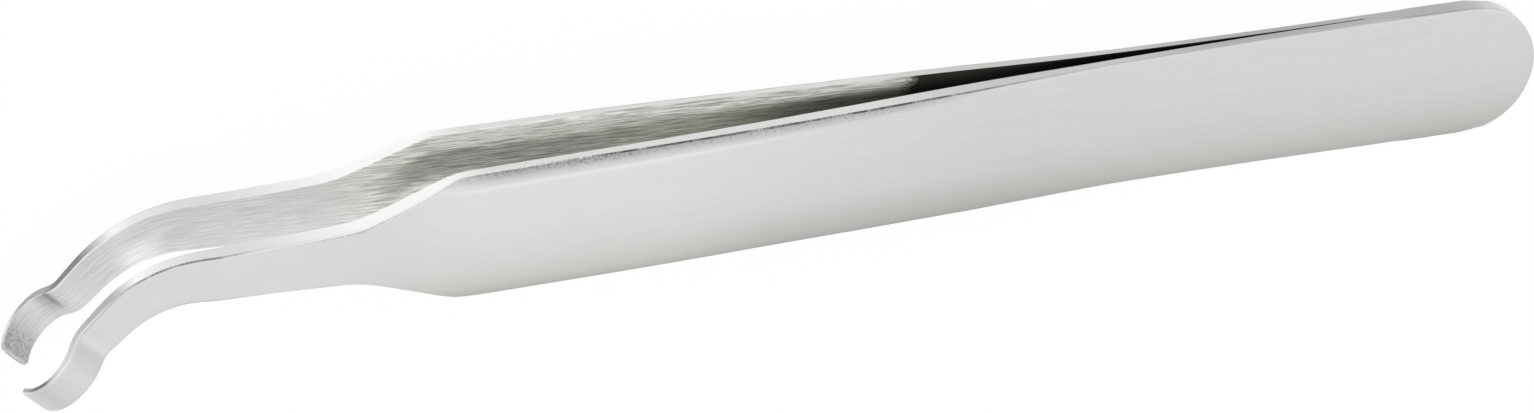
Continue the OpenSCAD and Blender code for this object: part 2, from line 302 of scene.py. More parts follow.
class Leaf:
    """The shape of the upper leaf, or of the lower one turned over into the upper one's place."""

    # Cross-sections along each stretch, and steps round the tail and round a broken edge
    BLADE_ROWS, SHOULDER_ROWS, NECK_ROWS = 80, 12, 76
    CREASE_ROWS, FLAT_ROWS, CLAW_ROWS = 14, 3, 60
    ARC_STEPS, BREAK_STEPS = 40, 4

    # Shares of the half width at which a section has its points
    INNER_SHARES = (0, 0.25, 0.5, 0.7, 0.78, 0.84, 0.89, 0.93, 0.97)
    OUTER_SHARES = (0.975, 0.945, 0.91, 0.875, 0.84, 0.8, 0.75, 0.68, 0.58, 0.44, 0.28, 0.12, 0)

    # How near to a broken edge a section has one more point, which keeps the face beside it flat
    SUPPORT = 0.03 * MM

    # Largest shares of the thickness that the broken edges take
    INNER_LIMIT, OUTER_LIMIT = 0.2, 0.25

    # Lengths before the shoulder where the wide spacing of the sections ends and the close one begins
    WIDE_END, CLOSE_START = 5 * MM, 4 * MM

    # Lengths over which the soft forms along the leaf lie, rise and fade
    DIP_REACH = 10 * MM
    SWELL_LEAD, SWELL_REACH = 22 * MM, 12 * MM
    INNER_ROLL_LEAD, INNER_ROLL_RISE, INNER_ROLL_FADE = 5 * MM, 12 * MM, 26 * MM
    BACK_BREAK_END, NECK_BREAK_RISE = 5 * MM, 3 * MM

    # Middle and reach of the sideways drift, in lengths past the shoulder
    UPPER_DRIFT, LOWER_DRIFT = (20 * MM, 7 * MM), (13 * MM, 13 * MM)

    def __init__(self, settings, lower=False):
        self.blade = settings.blade
        self.weld = settings.weld
        self.edges = settings.edges
        self.neck = settings.neck
        self.jaw = settings.jaw
        self.lower = lower
        blade, neck = self.blade, self.neck
        self.round_x = blade.tail_shift - blade.tail_round * math.sin(blade.tail_cut)
        self.weld_x = self.weld.span - blade.tail_radius
        self.spring_end_x = self.weld_x + blade.spring_length
        self.grip_x = self.spring_end_x + blade.spring_run_out
        self.parallel_x = SHOULDER_X + neck.neck_length - neck.parallel_lead
        self.bend_arc = neck.bend_radius * neck.bend_angle
        self.path_length = neck.neck_length + self.bend_arc + neck.crease_lead
        self.crease_x = SHOULDER_X + self.neck_place(self.path_length)[0]
        self.bend_middle_x = SHOULDER_X + self.neck_place(neck.neck_length + self.bend_arc / 2)[0]

    def inner_height(self, x):
        """Height of the inner face above the middle between the leaves."""
        blade = self.blade
        height = blade.half_gap * smooth(x, self.weld_x, self.parallel_x)
        height -= blade.gap_dip * bump(x, self.grip_x, self.DIP_REACH)
        height -= self.neck.bend_dip * bump(x, self.bend_middle_x, self.crease_x - self.bend_middle_x)
        return height + blade.gap_swell * bump(x, self.grip_x + self.SWELL_LEAD, self.SWELL_REACH)

    def thickness(self, x):
        """Thickness of the leaf, which changes evenly from one of these places to the next."""
        blade, neck = self.blade, self.neck
        places, values = zip(
            (self.weld_x, blade.tail_thickness),
            (self.weld_x + self.weld.run_out, blade.spring_thickness),
            (self.spring_end_x, blade.spring_thickness),
            (self.grip_x, blade.grip_thickness),
            (SHOULDER_X, blade.grip_thickness),
            (SHOULDER_X + neck.flank_length, neck.neck_thickness),
            (self.parallel_x + neck.thin_lead, neck.neck_thickness),
            (self.crease_x, neck.crease_thickness),
        )
        return float(np.interp(x, places, values))

    def blade_line(self, x):
        """Half width of the blade as it narrows evenly from the weld to the end of its taper."""
        blade = self.blade
        wide = blade.tail_radius - self.weld.proud
        return float(np.interp(x, (self.weld_x, blade.taper_end), (wide, blade.shoulder_half_width)))

    def tail_progress(self, x):
        """How far the tail has widened, from 0 at its ground round to 1 at its full width."""
        return progress(x, self.round_x, self.blade.tail_flare)

    def blade_half_width(self, x):
        """Half width of the blade from the tail's ground round into the flanks."""
        blade = self.blade
        if x < blade.tail_flare:
            narrow = blade.tail_round * math.cos(blade.tail_cut) - blade.tail_shift
            return narrow + (self.blade_line(x) - narrow) * self.tail_progress(x)
        slope = (blade.shoulder_half_width - self.neck.neck_width / 2) / self.neck.flank_length
        flank = blade.shoulder_half_width - (x - SHOULDER_X) * slope
        return soft_least(self.blade_line(x), flank, blade.shoulder_blend)

    def back_flare(self, x):
        """How much wider the blade is on its back side."""
        blade, share = self.blade, self.tail_progress(x)
        flare = blade.back_flare * (1 - smooth(x, self.weld_x, self.spring_end_x))
        return 2 * blade.tail_shift * (1 - share) + flare * share

    def neck_half_width(self, s):
        """Half width along the flanks and the neck, at a length past the shoulder."""
        neck = self.neck
        taper = (self.jaw.jaw_width - neck.neck_width) / 2 / (self.path_length - neck.flank_length)
        line = neck.neck_width / 2 + (s - neck.flank_length) * taper
        blend = neck.flank_blend * smooth(s, 0, neck.flank_length)
        return soft_most(self.blade_half_width(SHOULDER_X + s), line, blend)

    def heading(self, s):
        """Direction of the neck, turned sideways from the blade, at a length past the shoulder."""
        neck = self.neck
        return neck.bend_angle * progress(s, neck.neck_length, neck.neck_length + self.bend_arc)

    def neck_place(self, s):
        """Place of the neck's middle line, from the shoulder, at a length past it."""
        neck = self.neck
        if s <= neck.neck_length:
            return s, 0.0
        turn = self.heading(s)
        past = max(0.0, s - neck.neck_length - self.bend_arc)
        return (
            neck.neck_length + neck.bend_radius * math.sin(turn) + past * math.cos(turn),
            neck.bend_radius * (1 - math.cos(turn)) + past * math.sin(turn),
        )

    def roll_share(self, x):
        """How far the edges are rolled over, from 0 where the roll begins to 1 at the shoulder."""
        return progress(x, self.edges.roll_start, SHOULDER_X)

    def fall(self, station, side, across):
        """Depth by which the outer face lies under its middle, at a distance across the leaf."""
        edges = self.edges
        share = self.roll_share(station.x)
        front_roll = edges.lower_front_roll if self.lower else edges.upper_front_roll
        depth = (front_roll if side < 0 else edges.back_roll) * share**1.6
        width = edges.roll_width * math.sqrt(share)
        fall = self.blade.crown * (across / self.blade.tail_radius) ** 2
        inward = station.half_width + (station.flare if side > 0 else 0.0) - across
        fall += edges.rim_depth * max(0.0, 1 - inward / edges.rim_width) ** 2
        if width > 0:
            fall += depth * max(0.0, (across - self.blade_line(station.x) + width) / width) ** 2
        return fall

    def inner_fall(self, station, side, across):
        """Height by which the inner face rises above its middle, at a distance across the leaf."""
        if side > 0 or not self.lower:
            return 0.0
        edges = self.edges
        start = edges.roll_start - self.INNER_ROLL_LEAD
        end = SHOULDER_X + self.INNER_ROLL_LEAD
        rolled = smooth(station.x, start, start + self.INNER_ROLL_RISE)
        rolled *= smooth(station.x, end, end - self.INNER_ROLL_FADE)
        share = max(0.0, 1 - (station.half_width - across) / edges.inner_width)
        return edges.inner_roll * rolled * share**2

    def outer_break(self, station, side):
        """Radius of the edge beside the outer face: larger round the tail, and filed at the shoulder."""
        edges = self.edges
        tail = edges.lower_tail_break if self.lower else edges.upper_tail_break
        if side > 0:
            return float(np.interp(station.x, (0, self.BACK_BREAK_END), (tail, edges.outer_break)))
        places = (self.weld_x + self.weld.run_out, self.spring_end_x)
        radius = float(np.interp(station.x, places, (tail, edges.outer_break)))
        past = progress(station.along, SHOULDER_X, SHOULDER_X + self.NECK_BREAK_RISE)
        radius += (edges.neck_break - edges.outer_break) * past
        return max(radius, edges.filed_break * self.roll_share(station.x) ** 0.3 * (1 - past))

    def blade_stations(self):
        """Cross-sections from the tail's ground round to the shoulder."""
        start = self.blade.tail_flare
        tail = (self.round_x, (self.round_x + start) / 2)
        wide = np.linspace(start, SHOULDER_X - self.WIDE_END, self.BLADE_ROWS)
        close = np.linspace(SHOULDER_X - self.CLOSE_START, SHOULDER_X, self.SHOULDER_ROWS, endpoint=False)
        for x in (*tail, *wide, *close):
            yield Station(
                (x, 0, MID_Z + self.inner_height(x)), (0, 1, 0), (0, 0, 1),
                x, self.blade_half_width(x), self.thickness(x), x, flare=self.back_flare(x)
            )

    def neck_stations(self):
        """Cross-sections from the shoulder to the crease."""
        middle, reach = self.LOWER_DRIFT if self.lower else self.UPPER_DRIFT
        for s in np.linspace(0, self.path_length, self.NECK_ROWS + 1):
            turn = self.heading(s)
            x, y = self.neck_place(s)
            x += SHOULDER_X
            y += self.neck.drift * bump(s, middle, reach)
            yield Station(
                (x, y, MID_Z + self.inner_height(x)), (-math.sin(turn), math.cos(turn), 0), (0, 0, 1),
                SHOULDER_X + s, self.neck_half_width(s), self.thickness(x), x
            )

    def jaw_path(self):
        """The inner face from the crease to the end of the claw, in the upright plane of the bent neck:
        places ahead and up, with the pitch and the length gone at each."""
        jaw = self.jaw
        place, pitch, gone = np.zeros(2), 0.0, 0.0
        for radius, amount, count in (
            (jaw.crease_radius + jaw.jaw_thickness, jaw.crease_angle, self.CREASE_ROWS),
            (0, jaw.crease_flat, self.FLAT_ROWS),
            (-jaw.claw_radius, -jaw.claw_sweep, self.CLAW_ROWS),
        ):
            step = amount / count
            for _ in range(count):
                if radius:
                    centre = place + radius * np.array((-math.sin(pitch), math.cos(pitch)))
                    pitch += step
                    place = centre - radius * np.array((-math.sin(pitch), math.cos(pitch)))
                    gone += radius * step
                else:
                    place = place + step * np.array((math.cos(pitch), math.sin(pitch)))
                    gone += step
                yield place, pitch, gone

    def jaw_stations(self):
        """Cross-sections along the crease, the short flat and the claw."""
        jaw = self.jaw
        heading = self.neck.bend_angle
        forward = np.array((math.cos(heading), math.sin(heading), 0))
        sideways = (-math.sin(heading), math.cos(heading), 0)
        upwards = np.array((0, 0, 1))
        x, y = self.neck_place(self.path_length)
        start = np.array((SHOULDER_X + x, y, MID_Z + self.blade.half_gap))
        claw_length = jaw.claw_radius * jaw.claw_sweep
        thinning = (jaw.crease_radius + jaw.jaw_thickness) * jaw.crease_angle + jaw.crease_flat
        total = thinning + claw_length
        for place, pitch, gone in self.jaw_path():
            left = total - gone
            width = jaw.jaw_width / 2 + (jaw.tip_width - jaw.jaw_width) / 2 * gone / total
            thickness = jaw.jaw_thickness
            thickness += (jaw.tip_thickness - jaw.jaw_thickness) * progress(left, claw_length, 0)
            thickness += (self.neck.crease_thickness - jaw.jaw_thickness) * progress(gone, thinning, 0)
            if left < jaw.tip_corner:
                past = jaw.tip_corner - left
                width -= jaw.tip_corner - math.sqrt(max(0.0, jaw.tip_corner**2 - past**2))
            inset = max(0.0, self.edges.inner_break - left)
            yield Station(
                start + forward * place[0] + upwards * place[1], sideways,
                upwards * math.cos(pitch) - forward * math.sin(pitch),
                SHOULDER_X + self.path_length + gone, width, thickness, start[0] + place[0], inset
            )

    def tail_round(self):
        """The tail's ground end from the front side to the back: places, directions outwards, and
        distances along the edge, which fall from where the round begins to the middle of the end."""
        blade = self.blade
        sweep = math.pi - 2 * blade.tail_cut
        middle = np.array((blade.tail_shift, blade.tail_shift, 0))
        points = []
        for turn in np.linspace(0, sweep, self.ARC_STEPS + 1):
            outwards = np.array((-math.sin(turn + blade.tail_cut), -math.cos(turn + blade.tail_cut), 0))
            along = self.round_x - blade.tail_round * min(turn, sweep - turn)
            points.append((middle + blade.tail_round * outwards, outwards, along))
        return points

    def half_section(self, station, side):
        """Points across one half of a section, from the middle of the inner face round the edge to the
        middle of the outer face, as (distance across, height), with the kind of each step between them."""
        w = station.half_width - station.inset + (station.flare if side > 0 else 0.0)
        low = station.inset
        small = min(self.edges.inner_break, self.INNER_LIMIT * station.thickness)
        large = min(self.outer_break(station, side), self.OUTER_LIMIT * station.thickness)
        places = [share * (w - small - self.SUPPORT) for share in (*self.INNER_SHARES, 1)]
        points = [(across, low + self.inner_fall(station, side, across)) for across in places]
        kinds = [INNER] * len(self.INNER_SHARES)
        low += self.inner_fall(station, side, w)
        turns = np.linspace(0, math.pi / 2, self.BREAK_STEPS + 1)
        points += [(w - small + small * math.sin(t), low + small - small * math.cos(t)) for t in turns]
        kinds += [INNER] * (1 + self.BREAK_STEPS)

        top = station.thickness - station.inset
        drop = self.fall(station, side, w) - self.fall(station, side, w - large)
        tilt = math.atan2(drop, large)
        reach = w - large * (1 - math.sin(tilt))
        centre = top - self.fall(station, side, reach) - large * math.cos(tilt)
        points += [(w, low + small + self.SUPPORT), (w, centre - self.SUPPORT)]
        kinds += [EDGE] * 2
        turns = np.linspace(0, math.pi / 2 - tilt, self.BREAK_STEPS + 1)
        points += [(w - large + large * math.cos(t), centre + large * math.sin(t)) for t in turns]
        kinds += [EDGE] + [BREAK] * self.BREAK_STEPS
        places = [share * (reach - self.SUPPORT) for share in (1, *self.OUTER_SHARES)]
        points += [(across, top - self.fall(station, side, across)) for across in places]
        kinds += [OUTER] * len(places)
        return points, kinds


class PieceMesh:
    """Gathers the points, faces, finishes and strip map of one piece."""

    def __init__(self):
        self.points, self.flat_map, self.edge_map = [], [], []
        self.faces, self.kinds = [], []

    def point(self, place, flat, edge):
        """Adds a point, with its place on the strip map for the faces and for the edges."""
        self.points.append(place)
        self.flat_map.append(flat)
        self.edge_map.append(edge)
        return len(self.points) - 1

    def face(self, corners, kind):
        """Adds a face, whose kind picks its finish."""
        self.faces.append(tuple(corners))
        self.kinds.append(kind)

    def skin(self, rings, kinds):
        """Adds the faces between neighbouring rings, with the kind of each step round a ring."""
        for first, second in zip(rings, rings[1:]):
            for j, kind in enumerate(kinds):
                k = (j + 1) % len(kinds)
                self.face((first[j], second[j], second[k], first[k]), kind)

    def finished(self, name, lower, materials):
        """Makes the object, turned over for the lower leaf."""
        points = np.array(self.points)
        if lower:
            points[:, 2] = 2 * MID_Z - points[:, 2]
        mesh = bpy.data.meshes.new(name)
        mesh.from_pydata(points.tolist(), [], self.faces)
        mesh.polygons.foreach_set("material_index", self.kinds)
        for material in materials:
            mesh.materials.append(material)
        corners = np.concatenate(self.faces)
        on_edge = np.repeat(np.array(self.kinds) >= EDGE, [len(face) for face in self.faces])
        strip = np.where(on_edge[:, None], np.array(self.edge_map)[corners], np.array(self.flat_map)[corners])
        mesh.uv_layers.new(name=STRIP_MAP).data.foreach_set("uv", strip.ravel())
        work = bmesh.new()
        work.from_mesh(mesh)
        bmesh.ops.recalc_face_normals(work, faces=work.faces)
        work.to_mesh(mesh)
        work.free()
        mesh.polygons.foreach_set("use_smooth", [True] * len(self.faces))
        mesh.validate()
        piece = bpy.data.objects.new(name, mesh)
        bpy.context.scene.collection.objects.link(piece)
        return piece


def leaf_mesh(shape):
    """One leaf: cross-sections from the tail's ground round to the end of the claw, and the round itself."""
    mesh = PieceMesh()
    stations = [*shape.blade_stations(), *shape.neck_stations(), *shape.jaw_stations()]
    rings = []
    for station in stations:
        near, kinds = shape.half_section(station, -1)
        far, _ = shape.half_section(station, 1)
        loop = [(-a, h) for a, h in near] + [(a, h) for a, h in reversed(far[1:-1])]
        ring = []
        for across, height in loop:
            place = station.place + station.sideways * across + station.outwards * height
            ring.append(mesh.point(place, (station.along, across), (station.along, height)))
        rings.append(ring)
    mesh.skin(rings, kinds + kinds[::-1])
    mesh.face(rings[-1], EDGE)
    add_tail_round(mesh, shape, stations[0], rings[0])
    return mesh


def add_tail_round(mesh, shape, root, ring):
    """The leaf's rounded end: copies of the first section's front half, fanned round to its back half."""
    profile, kinds = shape.half_section(root, -1)
    bottom, top = ring[0], ring[len(profile) - 1]
    spokes = [ring[:len(profile)]]
    for outline, _, along in shape.tail_round()[1:-1]:
        spoke = [bottom]
        for across, height in profile[1:-1]:
            outwards = (outline - (root.x, 0, 0)) * across / root.half_width
            place = root.place + outwards + root.outwards * height
            spoke.append(mesh.point(place, (place[0], place[1]), (along, height)))
        spokes.append([*spoke, top])
    spokes.append([bottom, *reversed(ring[len(profile):]), top])
    for first, second in zip(spokes, spokes[1:]):
        for j, kind in enumerate(kinds):
            mesh.face(dict.fromkeys((first[j], first[j + 1], second[j + 1], second[j])), kind)


class Shade:
    """One output socket of a recipe. Arithmetic on it adds Math nodes."""

    def __init__(self, recipe, socket):
        self.recipe = recipe
        self.socket = socket

    def other(self, output):
        """Another output of the same node."""
        return Shade(self.recipe, self.socket.node.outputs[output])

    def maths(self, operation, first, second):
        return self.recipe.add("ShaderNodeMath", {"operation": operation}, {0: first, 1: second})

    def __add__(self, other):
        return self.maths("ADD", self, other)

    __radd__ = __add__

    def __sub__(self, other):
        return self.maths("SUBTRACT", self, other)

    def __rsub__(self, other):
        return self.maths("SUBTRACT", other, self)

    def __mul__(self, other):
        return self.maths("MULTIPLY", self, other)

    __rmul__ = __mul__

    def __truediv__(self, other):
        return self.maths("DIVIDE", self, other)

    def __rtruediv__(self, other):
        return self.maths("DIVIDE", other, self)

    def __pow__(self, other):
        return self.maths("POWER", self, other)

    def __rpow__(self, other):
        return self.maths("POWER", other, self)

    def least(self, other):
        return self.maths("MINIMUM", self, other)

    def most(self, other):
        return self.maths("MAXIMUM", self, other)

    def between(self, low, high):
        """0 below low, 1 above high, and smooth between them."""
        return self.recipe.add(
            "ShaderNodeMapRange", {"interpolation_type": "SMOOTHSTEP"}, {0: self, 1: low, 2: high}
        )

    def within(self, start, full, fading, end):
        """0 up to start, 1 from full to fading, 0 past end, and smooth between them."""
        return self.between(start, full) * self.between(end, fading)


class Recipe:
    """The node tree of one material, or of the world."""

    def __init__(self, owner):
        owner.use_nodes = True
        self.tree = owner.node_tree
        self.tree.nodes.clear()

    def add(self, kind, settings=None, sockets=None, output=0):
        """Adds a node, sets its settings and then its sockets, and gives one of its outputs."""
        node = self.tree.nodes.new(kind)
        for name, value in (settings or {}).items():
            if name == "stops":
                self.set_stops(node.color_ramp, value)
            else:
                setattr(node, name, value)
        for name, value in (sockets or {}).items():
            if isinstance(value, Shade):
                self.tree.links.new(value.socket, node.inputs[name])
            else:
                node.inputs[name].default_value = value
        return Shade(self, node.outputs[output]) if len(node.outputs) else None

    def set_stops(self, ramp, stops):
        """Sets a ramp's colours, at places from 0 to 1."""
        while len(ramp.elements) > 1:
            ramp.elements.remove(ramp.elements[-1])
        for number, (place, value) in enumerate(stops):
            stop = ramp.elements[0] if number == 0 else ramp.elements.new(place)
            stop.position = place
            stop.color = (*value, 1.0)

    def strip(self):
        """Millimetres along the leaf from the tail's centre, and across it."""
        strip = self.add("ShaderNodeUVMap", {"uv_map": STRIP_MAP})
        along = self.add("ShaderNodeSeparateXYZ", sockets={0: strip})
        return along / MM, along.other(1) / MM

    def back_side(self):
        """1 on faces that look to the back side of the leaf, and 0 on the others."""
        normal = self.add("ShaderNodeNewGeometry", output="Normal")
        return self.add("ShaderNodeSeparateXYZ", sockets={0: normal}, output=1).between(0.6, 0.85)

    def noise(self, along, across, long, wide, detail, rough):
        """Noise in grains of a length and a width in millimetres."""
        place = self.add("ShaderNodeCombineXYZ", sockets={0: along / long, 1: across / wide})
        return self.add(
            "ShaderNodeTexNoise", {"noise_dimensions": "2D"},
            {"Vector": place, "Scale": 1.0, "Detail": detail, "Roughness": rough}
        )

    def mix(self, factor, first, second):
        """A colour that goes from the first to the second as the factor goes from 0 to 1."""
        first, second = (tint if isinstance(tint, Shade) else (*tint, 1.0) for tint in (first, second))
        return self.add("ShaderNodeMix", {"data_type": "RGBA"}, {0: factor, 6: first, 7: second}, output=2)

    def scaled(self, tint, amount):
        """A colour times an amount."""
        ready = tint if isinstance(tint, Shade) else tuple(tint)
        return self.add("ShaderNodeVectorMath", {"operation": "SCALE"}, {0: ready, "Scale": amount})

    def ramp(self, value, stops):
        """Colours at places in the value's own units."""
        low, high = stops[0][0], stops[-1][0]
        placed = [((place - low) / (high - low), tint) for place, tint in stops]
        return self.add("ShaderNodeValToRGB", {"stops": placed}, {0: (value - low) / (high - low)})

    def steel(self, base, roughness, relief, depth):
        """The steel itself, with a relief that is as deep as its depth in millimetres."""
        normal = self.add("ShaderNodeBump", sockets={"Distance": depth * MM, "Height": relief})
        shader = self.add("ShaderNodeBsdfPrincipled", sockets={
            "Base Color": base, "Metallic": 1.0, "Roughness": roughness, "Normal": normal
        })
        self.add("ShaderNodeOutputMaterial", sockets={"Surface": shader})


def new_recipe(name):
    material = bpy.data.materials.new(name)
    return material, Recipe(material)


class Marks:
    """Places that the finishes go by, in millimetres along the leaf from the tail's centre."""

    def __init__(self, shape):
        self.weld = shape.weld_x / MM
        self.spring_end = shape.spring_end_x / MM
        self.grip = shape.grip_x / MM
        self.roll = shape.edges.roll_start / MM
        self.shoulder = SHOULDER_X / MM
        self.flank_end = self.shoulder + shape.neck.flank_length / MM
        self.bend = self.shoulder + shape.neck.neck_length / MM
        self.crease = self.shoulder + shape.path_length / MM


def blade_edge(shape, along):
    """Half width of the blade, in millimetres, at a distance along it."""
    wide, narrow = shape.blade.tail_radius / MM, shape.blade.shoulder_half_width / MM
    start, end = shape.weld_x / MM, shape.blade.taper_end / MM
    return wide - (along.most(start).least(end) - start) * ((wide - narrow) / (end - start))


def leaf_edge(shape, along):
    """Half width of the leaf, in millimetres, at a distance along it."""
    at = Marks(shape)
    wide = shape.blade.shoulder_half_width / MM
    middle, narrow = shape.neck.neck_width / 2 / MM, shape.jaw.jaw_width / 2 / MM
    flank = wide - (along - at.shoulder) * ((wide - middle) / (at.flank_end - at.shoulder))
    neck = middle - (along - at.flank_end) * ((middle - narrow) / (at.crease - at.flank_end))
    return blade_edge(shape, along).least(flank.most(neck.most(narrow)))


def outer_finish(finish, shape):
    """Satin outer face: fine straight grain, painted shade beside its far edge and on the rolled band, a
    painted highlight beside that band, thin lines of painted shade along the front edge, and scuffs and
    sparks along the filed edge."""
    material, r = new_recipe("ground_outer_face")
    along, across = r.strip()
    at = Marks(shape)
    past_grip, past_shoulder = along - at.grip, along - at.shoulder
    past_bend, past_crease = along - at.bend, along - at.crease
    grain = r.noise(along, across, long=3, wide=0.06, detail=3, rough=0.6)
    streak = r.noise(along, across, long=14, wide=0.22, detail=2, rough=0.6)
    cloud = r.noise(along, across, long=6, wide=2.5, detail=2, rough=0.5)
    tone = 0.9 + grain * 0.1 + streak * 0.07 + cloud * 0.03

    # Painted shade beside the far edge, and a little more of it there along the grip
    edge = blade_edge(shape, along)
    from_front, from_back = edge + across, edge - across
    shade = 0.62 ** from_back * 0.85 * past_shoulder.between(13, 1)
    grip_shade = from_back.between(3.2, 0.8) * past_grip.within(-15, 0, 12, 26)

    # Painted shade on the band that is rolled over in front, and a painted highlight on the pale line beside
    # it
    rolled = ((along - at.roll) / (at.shoulder - at.roll)).most(0.0).least(1.0)
    width = rolled ** 0.3 * 1.05 + 0.001
    band = (1 - from_front / width).most(0) * rolled.between(0.05, 0.25) * (rolled * 0.1 + 0.36)
    band *= past_shoulder.between(2.1, -3.9)
    crest_highlight = from_front.within(width * 0.8, width, width * 1.05, width * 1.4) * rolled.between(0.3, 0.6)
    crest_highlight *= past_shoulder.between(2.1, -1.9)

    # Scuffs and sparks along the filed edge
    scuff = r.noise(along, across, long=0.3, wide=0.16, detail=3, rough=0.7).between(0.45, 0.7)
    ragged = from_front.between(0.75, 0.2) * rolled.between(0.03, 0.3) * past_shoulder.between(-5, -13)
    ragged = scuff * (ragged + from_front.between(0.45, 0.2) * past_shoulder.within(-15, -9, -2.9, 0.1) * 1.6)
    sparks = r.noise(along, across, long=0.25, wide=0.12, detail=2, rough=0.6).between(0.54, 0.68)
    sparks *= from_front.between(0.55, 0.2) * past_shoulder.within(-13, -8, -0.4, 1.1)

    # Thin lines of painted shade along the front edge, in the bend and along the flank, ragged there with the
    # scuffs
    rim = leaf_edge(shape, along) + across
    edge_shade = rim.between(0.24, 0.1) * past_bend.between(4.5, 6.5) * past_crease.between(2, 0.5)
    edge_shade += rim.between(0.26, 0.1) * past_shoulder.within(0.1, 2.1, 9, 14) * (scuff * 0.7 + 0.3)

    # What is paler or darker than the rest of the face
    lift = along.between(at.roll, at.shoulder - 7) * 0.1 - along.between(at.shoulder, at.flank_end) * 0.06
    lift += crest_highlight * 0.09 - grip_shade * 0.07 + sparks * 0.22
    lift -= past_crease.between(1.7, 3.2) * 0.05
    # The painted shade beside the far edge mixes in the darker copy of the colour
    face = r.mix(shade, finish.outer, finish.outer_shade)
    base = r.scaled(face, tone * (1 + lift) * (1 - band) * (1 - ragged * 0.25) * (1 - edge_shade * 0.3))
    r.steel(base, 0.3 + grain * 0.1 + streak * 0.06, grain + streak * 0.5 - ragged, depth=0.0015)
    return material


def inner_finish(finish, shape):
    """Coarsely brushed inner face: painted shade between the leaves and beside the front edge of the grip,
    painted highlights in the bend, painted shade in the crease, specks on the claw, and a skin with a ragged
    front where it flexes, painted near-black as shade in the narrow gap."""
    material, r = new_recipe("brushed_inner_face")
    along, across = r.strip()
    at = Marks(shape)
    past_grip, past_shoulder = along - at.grip, along - at.shoulder
    past_bend, past_crease = along - at.bend, along - at.crease
    inward = leaf_edge(shape, along) + across
    coarse = r.noise(along, across, long=3, wide=0.09, detail=3, rough=0.68)
    patch = r.noise(along, across, long=3.5, wide=0.2, detail=2, rough=0.5)
    streaks = (coarse * 0.9 + patch * 0.1).between(0.36, 0.64)
    contrast = past_shoulder.between(8.1, 1.1) * 0.5 + 0.2

    # Painted shade deep between the leaves, and a little greyer along the neck
    deep = (inward + past_grip.between(20, 4) * 0.5).between(0.5, 1.5) * past_grip.between(28, 6)
    bare = r.mix(along.between(at.shoulder + 1.1, at.flank_end), finish.inner, finish.inner_neck)
    tint = r.mix(deep, bare, finish.inner_shade)

    # How bright each stretch is; painted shade beside the front edge and in the crease, painted highlights in
    # the bend, and specks on the claw
    level = r.ramp(along, [(place, (grey,) * 3) for place, grey in (
        (at.shoulder - 13, 0.92), (at.shoulder - 8, 1.0), (at.shoulder - 2, 1.0), (at.shoulder + 2, 0.95),
        (at.shoulder + 7, 0.85), (at.shoulder + 11, 0.83), (at.shoulder + 15, 0.81), (at.bend, 0.79),
        (at.bend + 4, 0.83), (at.bend + 6.6, 0.79), (at.crease + 0.2, 0.81), (at.crease + 1.6, 0.74),
        (at.crease + 3.4, 0.81), (at.crease + 4.2, 0.76), (at.crease + 5.2, 0.66), (at.crease + 7.2, 0.64)
    )])
    # Painted shade a little in from the front edge, and right beside it along the grip
    front_shade = inward.within(0.8, 1.7, 2.8, 4.2) * past_shoulder.within(-23, -9, 0.6, 5.1)
    near = inward.between(0.7, 0.2) * past_shoulder.between(-1, -19)
    # Painted highlights: a glint across the bend and a bright rim beside its front edge
    glint = past_bend.within(0.6, 2.6, 3.6, 6.1) * across.between(-0.8, 0.8)
    rim = inward.between(0.17, 0.06) * past_bend.between(1.6, 4.1)
    # Painted shade in the crease and in a thin line across it
    crease_shade = past_crease.within(0.8, 1.8, 2.2, 3.2) * across.between(1.2, -0.4)
    fold_shade = past_crease.within(1.2, 1.5, 1.7, 2.1) * across.between(0.9, -0.1)
    specks = r.noise(along, across, long=0.3, wide=0.3, detail=2, rough=0.6).between(0.52, 0.66)
    specks *= past_crease.between(4.8, 5.8)
    # The stretch's brightness times the painted shade and highlights and the specks
    worn = (1 - front_shade * 0.52) * (1 - near * 0.3) * level * 1.05 * (1 + glint * 0.16 + rim * 0.22)
    worn *= 1 - crease_shade * 0.15 - specks * 0.3 - fold_shade * 0.25
    brushed = r.scaled(tint, (1 + (streaks - 0.5) * contrast) * worn)

    # The skin with its ragged slanting front, painted near-black as shade deep in the narrow gap, and darker
    # still beside the front edge
    ragged = r.noise(along, across, long=0.5, wide=0.25, detail=3, rough=0.7)
    skin_share = (3.9 - past_grip + (across + 4.6) * 0.7 + ragged * 1.6).between(0.3, 1.6)
    skin = r.scaled(finish.scale, 1 - inward.between(1.0, 0.3) * 0.45)
    r.steel(r.mix(skin_share, brushed, skin), 0.5 + coarse * 0.14, coarse, depth=0.004)
    return material


